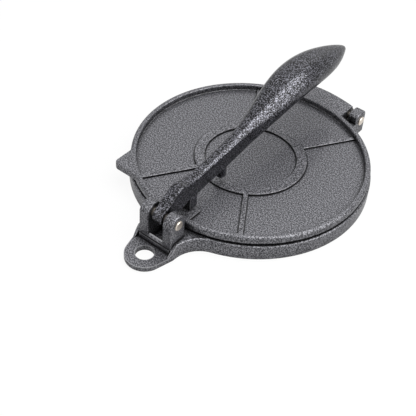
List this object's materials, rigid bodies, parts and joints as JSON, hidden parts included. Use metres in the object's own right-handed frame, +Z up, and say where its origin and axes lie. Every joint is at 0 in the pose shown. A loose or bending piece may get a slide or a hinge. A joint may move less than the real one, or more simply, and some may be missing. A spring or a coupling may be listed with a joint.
{
  "type": "lever tortilla press",
  "caption": "Small cast lever press with a hinged round top plate, a round base with a hanging tab, and a lever with a swelling grip.",
  "frame": {"origin": "centre of the round base on the plane it stands on", "axes": "+Z up, +X along both hinge axes to the right as seen from the lever's pivot, +Y from the lever's pivot at the front to the plate hinge at the back"},
  "size_m": [0.16, 0.2185, 0.0646],
  "materials": {
    "castings": "hammered powder coat",
    "pins": "brushed"
  },
  "bodies": {
    "base": {"base_plate": "castings", "lever_pin": "pins", "hinge_pin": "pins"},
    "plate": {"top_plate": "castings"},
    "lever": {"lever": "castings"}
  },
  "joints": [
    {"name": "lever_swing", "type": "hinge", "parent": "base", "child": "lever", "pos_m": [0, -0.0889, 0.024], "axis": [1, 0, 0], "range_deg": [0, 165]},
    {"name": "plate_hinge", "type": "hinge", "parent": "base", "child": "plate", "pos_m": [0, 0.087, 0.0112], "axis": [-1, 0, 0], "range_deg": [0, 14.03]}
  ],
  "couplings": [
    {"joint": "plate_hinge", "follows": "lever_swing", "ratio": 0.085}
  ]
}
